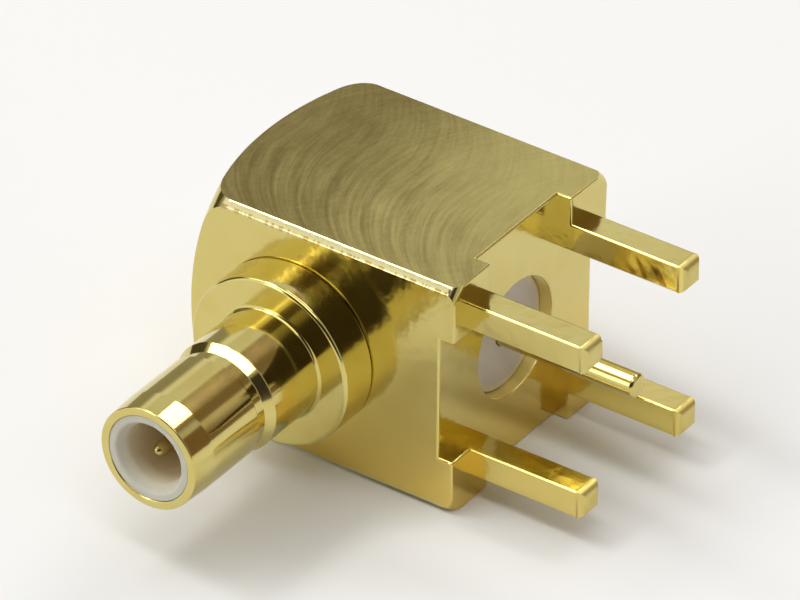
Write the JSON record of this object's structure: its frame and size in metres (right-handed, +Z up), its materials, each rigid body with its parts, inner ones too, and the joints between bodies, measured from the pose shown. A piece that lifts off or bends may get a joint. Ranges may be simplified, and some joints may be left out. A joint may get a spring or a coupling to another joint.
{
  "type": "right-angle smb connector",
  "caption": "Right-angle SMB jack for a circuit board: gold-plated square block with a turned barrel, a centre pin and solder legs.",
  "frame": {"origin": "on the resting side of the block, straight below the crossing of the barrel's axis and the board pin's axis", "axes": "+X along the legs, away from the block; -Y along the barrel, towards its mouth; +Z up from the resting side"},
  "size_m": [0.0141, 0.0152, 0.0079],
  "materials": {
    "gold_block": "gold-plated brass, face-milled flats",
    "gold_barrel": "gold-plated brass, turned and bright",
    "gold_pin": "gold-plated brass, bright",
    "gold_cap": "gold-plated brass, turned face",
    "white_insulator": "white fluoropolymer, satin"
  },
  "bodies": {
    "root": {"body": "gold_block", "outer_contact": "gold_barrel", "front_insulator": "white_insulator", "centre_contact": "gold_pin", "board_pin": "gold_pin", "board_insulator": "white_insulator", "access_cap": "gold_cap"}
  },
  "joints": []
}
